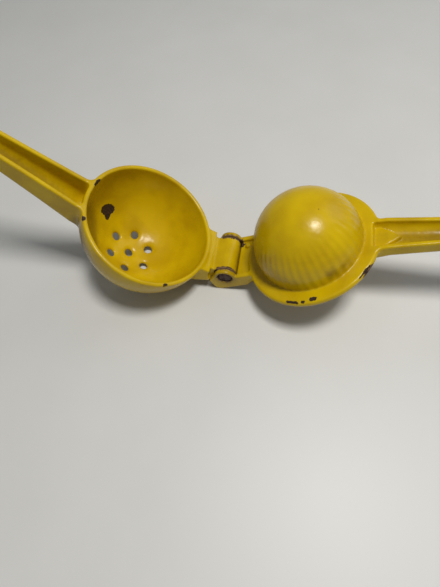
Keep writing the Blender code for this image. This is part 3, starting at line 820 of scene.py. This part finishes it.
# %% Sockets as values
class Value:
    """A number that varies over the surface."""

    def __init__(self, finish, socket):
        self.finish = finish
        self.socket = socket

    def maths(self, operation, *terms):
        made = self.finish.node("ShaderNodeMath", {"operation": operation}, dict(enumerate(terms)))
        return Value(self.finish, made.outputs[0])

    def __add__(self, other):
        return self.maths("ADD", self, other)

    def __sub__(self, other):
        return self.maths("SUBTRACT", self, other)

    def __mul__(self, other):
        return self.maths("MULTIPLY", self, other)

    def __rsub__(self, other):
        return self.maths("SUBTRACT", other, self)

    __radd__ = __add__
    __rmul__ = __mul__

    def fade(self, start, end):
        """0 at start, 1 at end, eased between them."""
        made = self.finish.node("ShaderNodeMapRange", {"interpolation_type": "SMOOTHSTEP"},
                                {"Value": self, "From Min": start, "From Max": end})
        return Value(self.finish, made.outputs["Result"])

    def most(self, other):
        return self.maths("MAXIMUM", self, other)


class Finish:
    """One material: a Principled shader and the nodes that feed it."""

    def __init__(self, name):
        self.material = bpy.data.materials.new(name)
        self.material.use_nodes = True
        self.tree = self.material.node_tree
        self.shader = self.tree.nodes["Principled BSDF"]
        self.place = self.node("ShaderNodeTexCoord").outputs["Object"]

    def node(self, kind, settings=None, inputs=None):
        made = self.tree.nodes.new(kind)
        for key, setting in (settings or {}).items():
            setattr(made, key, setting)
        for key, value in (inputs or {}).items():
            self.feed(made.inputs[key], value)
        return made

    def feed(self, socket, value):
        value = value.socket if isinstance(value, Value) else value
        if isinstance(value, bpy.types.NodeSocket):
            self.tree.links.new(value, socket)
        else:
            socket.default_value = value

    def set(self, **inputs):
        for key, value in inputs.items():
            self.feed(self.shader.inputs[key.replace("_", " ")], value)

    def stored(self, name):
        made = self.node("ShaderNodeAttribute", {"attribute_name": name})
        return Value(self, made.outputs["Fac"])

    def noise(self, size_mm, detail=3.0, roughness=0.55, offset=0.0):
        """Smooth noise about size_mm across, from 0 to 1."""
        shifted = self.node("ShaderNodeVectorMath", {"operation": "ADD"},
                            {0: self.place, 1: (offset, offset, offset)})
        made = self.node("ShaderNodeTexNoise", None,
                         {"Vector": shifted.outputs[0], "Scale": 1 / (size_mm * MM),
                          "Detail": detail, "Roughness": roughness})
        return Value(self, made.outputs["Fac"])

    def mix(self, factor, first, second):
        """From the first colour to the second as factor goes from 0 to 1."""
        made = self.node("ShaderNodeMix", {"data_type": "RGBA"})
        self.feed(made.inputs[0], factor)
        self.feed(made.inputs[6], first)
        self.feed(made.inputs[7], second)
        return made.outputs[2]

    def bump(self, height, distance_mm, strength=1.0, below=None):
        inputs = {"Height": height, "Distance": distance_mm * MM, "Strength": strength}
        if below is not None:
            inputs["Normal"] = below
        return self.node("ShaderNodeBump", None, inputs).outputs["Normal"]


# %% [markdown]
# ## The enamel
#
# Baked enamel is glossy but never flat: it has a faint orange peel and a slow change of tone where the
# coat is thicker.  Its creases and corners get a painted brown shade, and the listed spots get real
# stains and painted shade.
# Where it has chipped, the old metal has gone dark; where it is rubbed, the metal is grey-brown.  One
# function makes it for both halves.

# %% Make the enamel
YELLOW = (0.60, 0.41, 0.001, 1)
DEEP_YELLOW = (0.47, 0.30, 0.001, 1)
# Brown for real juice specks and stains, and for the painted shade in creases and on the shade spots.
STAIN_AND_SHADE_BROWN = (0.13, 0.065, 0.008, 1)
CHIP_DARK = (0.022, 0.013, 0.007, 1)
CHIP_RUST = (0.07, 0.032, 0.014, 1)
WORN_METAL = (0.21, 0.13, 0.065, 1)
WORN_DARK = (0.045, 0.02, 0.012, 1)


def make_enamel(name):
    coat = Finish(name)
    fine = coat.noise(0.7, 4)
    grain = coat.noise(2.4, 3, offset=3.1)
    slow = coat.noise(18, 2, offset=1.7)
    edge = coat.stored("edge")
    crease = coat.stored("crease")
    chip = coat.stored("chip") + 0.5 * (fine - 0.5)
    chipped = chip.fade(0.06, -0.06)
    bare = coat.stored("bare") + 1.6 * (grain - 0.5) + 0.8 * (fine - 0.5)
    rubbed = bare.fade(0.15, -0.15)
    # Painted shade: the enamel goes brown in creases and corners, where little light reaches, as far as
    # the surface bends inward.
    crease_shade = (crease * 0.8 + 0.5 * (grain - 0.5)).fade(0.35, 1.0) * 0.5
    # Brown over the listed spots, which hold real stains and painted shade.
    stain_and_shade = (coat.stored("stain_and_shade") + 2.4 * (grain - 0.5)).fade(1.5, -3.5) * 0.6
    specks = (coat.noise(0.45, 1, offset=7.3) + 0.25 * (slow - 0.5)).fade(0.80, 0.84)

    colour = coat.mix(slow.fade(0.3, 0.75), YELLOW, DEEP_YELLOW)
    # One brown for painted shade in creases and on the shade spots, and for real specks and stains.
    colour = coat.mix(crease_shade.most(specks * 0.5).most(stain_and_shade), colour, STAIN_AND_SHADE_BROWN)
    metal = coat.mix((grain + 0.5 * edge).fade(0.4, 0.8), WORN_DARK, WORN_METAL)
    colour = coat.mix(rubbed, colour, metal)
    colour = coat.mix(chipped, colour, coat.mix(fine.fade(0.4, 0.7), CHIP_DARK, CHIP_RUST))
    broken = chipped.most(rubbed)

    ripple = coat.bump(coat.noise(7, 2, offset=9.0), 0.35, 0.7)
    peel = coat.bump(coat.noise(1.6, 2, offset=5.0), 0.035, 1.0, ripple)
    pitted = coat.bump(broken * fine, 0.25, 0.8, peel)
    coat.set(Base_Color=colour, Roughness=0.20 + 0.14 * slow + 0.38 * broken, Normal=pitted,
             Metallic=rubbed * 0.3, Specular_IOR_Level=0.28)
    return coat.material


bowl.data.materials.append(make_enamel("bowl_yellow_enamel"))
dome.data.materials.append(make_enamel("dome_yellow_enamel"))

# %% [markdown]
# ## The rusty rivet
#
# Lemon juice eats steel, so the rivet is dark, dull and browned, with only its high spots still grey.

# %% Make the steel
def make_steel(name):
    steel = Finish(name)
    blotch = steel.noise(1.8, 4)
    fine = steel.noise(0.35, 3, offset=2.0)
    rust = (blotch + 0.3 * (fine - 0.5)).fade(0.42, 0.6)
    steel.set(Base_Color=steel.mix(rust, (0.09, 0.06, 0.05, 1), (0.045, 0.02, 0.013, 1)),
              Roughness=0.42 + 0.4 * rust, Metallic=1 - rust * 0.8,
              Normal=steel.bump(fine, 0.08, 0.7))
    return steel.material


rivet.data.materials.append(make_steel("rusted_steel"))
print("finishes:", ", ".join(thing.data.materials[0].name for thing in (bowl, dome, rivet)))

# %% [markdown]
# ## Table, light and camera
#
# The press stands on a pale table.  A soft lamp hangs nearly overhead, a little to the right, so the
# dome's far top catches it and the bowl's handle side falls dark.  A large dim panel and a pale world
# fill the shadows.  The camera stands at the near side and looks steeply down at the hinge.

# %% Table
TABLE_HALF = 3.0


def make_table():
    size = TABLE_HALF
    mesh = bpy.data.meshes.new("table_top")
    corners = [(-size, -size, 0), (size, -size, 0), (size, size, 0), (-size, size, 0)]
    mesh.from_pydata(corners, [], [(0, 1, 2, 3)])
    table = bpy.data.objects.new("table_top", mesh)
    bpy.context.scene.collection.objects.link(table)
    surface = Finish("pale_table")
    mottle = surface.noise(60, 3)
    surface.set(Base_Color=surface.mix(mottle, (0.60, 0.60, 0.57, 1), (0.66, 0.66, 0.64, 1)),
                Roughness=0.42 + 0.1 * mottle)
    mesh.materials.append(surface.material)
    return table


make_table()


# %% Lamps
def add_lamp(name, place, size, power, colour=(1, 1, 1)):
    """A square soft lamp that faces the hinge."""
    light = bpy.data.lights.new(name, "AREA")
    light.size = size
    light.energy = power
    light.color = colour
    lamp = bpy.data.objects.new(name, light)
    lamp.location = place
    lamp.rotation_euler = (Vector(place) - pin_place).to_track_quat("Z", "Y").to_euler()
    bpy.context.scene.collection.objects.link(lamp)
    return lamp


add_lamp("ceiling_lamp", (0.17, -0.06, 0.85), 0.18, 5.5, (1.0, 0.975, 0.94))
add_lamp("window_panel", (0.9, 0.7, 0.8), 0.9, 2.6)

world = bpy.data.worlds.new("room")
bpy.context.scene.world = world
world.use_nodes = True
world.node_tree.nodes["Background"].inputs["Color"].default_value = (0.86, 0.90, 0.95, 1)
world.node_tree.nodes["Background"].inputs["Strength"].default_value = 0.19

# %% Camera
LENS = 27.05
SENSOR = 36.0
CAMERA_FROM_PIN = Vector((0.03545, -0.13694, 0.20844))
LOOK = Vector((-0.152, 0.472, -0.868)).normalized()
UPRIGHT = Vector((-0.096, 0.867, 0.488))

camera_data = bpy.data.cameras.new("camera")
camera_data.lens = LENS
camera_data.sensor_width = SENSOR
camera_data.clip_start = 0.01
camera = bpy.data.objects.new("camera", camera_data)
right = LOOK.cross(UPRIGHT).normalized()
turn = Matrix((right, right.cross(LOOK), -LOOK)).transposed().to_4x4()
camera.matrix_world = Matrix.Translation(pin_place + CAMERA_FROM_PIN) @ turn
bpy.context.scene.collection.objects.link(camera)
bpy.context.scene.camera = camera
bpy.context.scene.view_settings.view_transform = "Standard"
